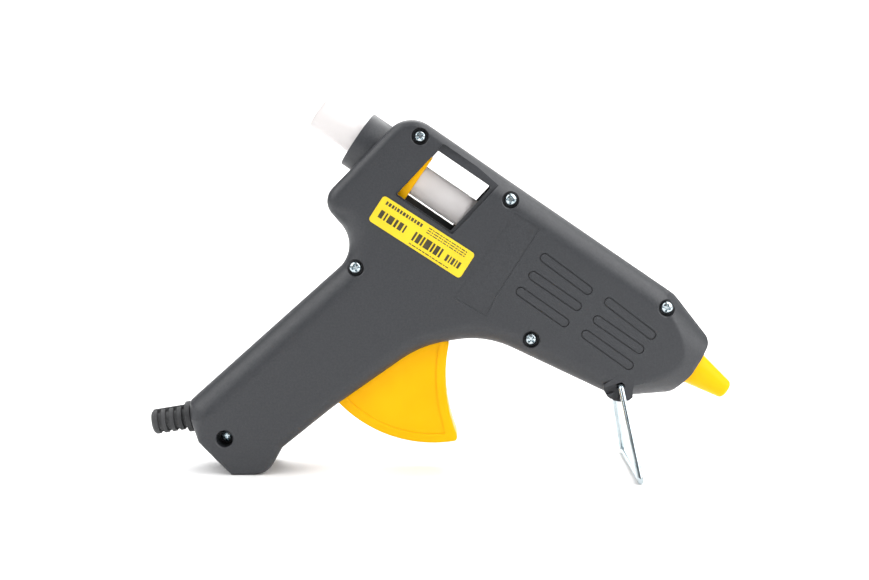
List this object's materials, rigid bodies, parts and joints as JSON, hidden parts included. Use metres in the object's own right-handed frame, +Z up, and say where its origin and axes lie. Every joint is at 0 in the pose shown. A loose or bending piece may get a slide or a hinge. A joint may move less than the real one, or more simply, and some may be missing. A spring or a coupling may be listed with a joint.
{
  "type": "hot glue gun",
  "caption": "Corded hot-melt glue gun with a pistol grip, pull trigger, stick feed and folding wire stand.",
  "frame": {"origin": "centre of the bounding box, on the surface that the heel and the wire stand rest on", "axes": "+X towards the nozzle, +Z up, +Y to the gun's left"},
  "size_m": [0.2017, 0.0542, 0.1279],
  "materials": {
    "housing": "fine moulded texture, satin grey",
    "yellow_plastic": "smooth moulded, warm yellow",
    "label": "printed film with plain dark marks",
    "glue": "milky translucent hot-melt glue",
    "black_plastic": "plain moulded",
    "soft_rubber": "matt flexible moulding",
    "silicone": "soft heat-resistant moulding",
    "zinc": "bright zinc plating",
    "spring_steel": "plain drawn wire and strip",
    "aluminium_alloy": "as cast",
    "brass": "turned",
    "ceramic": "unglazed ceramic",
    "lead_brown": "sleeved conductor",
    "lead_blue": "sleeved conductor"
  },
  "bodies": {
    "housing": {"right_housing": "housing", "left_housing": "housing", "housing_screw_1": "zinc", "housing_screw_2": "zinc", "housing_screw_3": "zinc", "housing_screw_4": "zinc", "housing_screw_5": "zinc", "housing_screw_6": "zinc", "trigger_pivot_pin": "zinc", "trigger_spring": "spring_steel", "inlet_collar": "housing", "inlet_sleeve": "silicone", "sleeve_clip": "spring_steel", "melt_chamber": "aluminium_alloy", "heating_element": "ceramic", "heater_clamp": "spring_steel", "nozzle": "brass", "nozzle_ball": "spring_steel", "nozzle_spring": "spring_steel", "nozzle_cover": "yellow_plastic", "front_ring": "ceramic", "strain_relief": "soft_rubber", "cord_clamp": "black_plastic", "clamp_screw_1": "zinc", "clamp_screw_2": "zinc", "lead_live": "lead_brown", "lead_neutral": "lead_blue", "rating_label": "label"},
    "trigger": {"trigger": "yellow_plastic", "drive_pin": "zinc"},
    "carriage": {"feed_carriage": "yellow_plastic", "link_pin": "zinc", "grip_plate": "spring_steel", "push_link": "black_plastic"},
    "glue_stick": {"glue_stick": "glue"},
    "stand": {"stand": "zinc"}
  },
  "joints": [
    {"name": "trigger_pull", "type": "hinge", "parent": "housing", "child": "trigger", "pos_m": [-0.00205, 0, 0.05495], "axis": [0, 1, 0], "range_deg": [0, 26], "stiffness_Nm_per_rad": 0.15, "springref_deg": -5.73, "deforming": ["trigger_spring"]},
    {"name": "feed_slide", "type": "slide", "parent": "housing", "child": "carriage", "axis": [0.8264, 0, -0.5631], "range_m": [0, 0.012]},
    {"name": "stick_feed", "type": "slide", "parent": "housing", "child": "glue_stick", "axis": [0.8264, 0, -0.5631], "range_m": [0, 0.012]},
    {"name": "stand_swing", "type": "hinge", "parent": "housing", "child": "stand", "pos_m": [0.06151, 0, 0.03101], "axis": [0, 1, 0], "range_deg": [0, 100]}
  ],
  "couplings": [
    {"joint": "feed_slide", "follows": "trigger_pull", "m_per_rad": 0.02637},
    {"joint": "stick_feed", "follows": "trigger_pull", "m_per_rad": 0.02637}
  ]
}
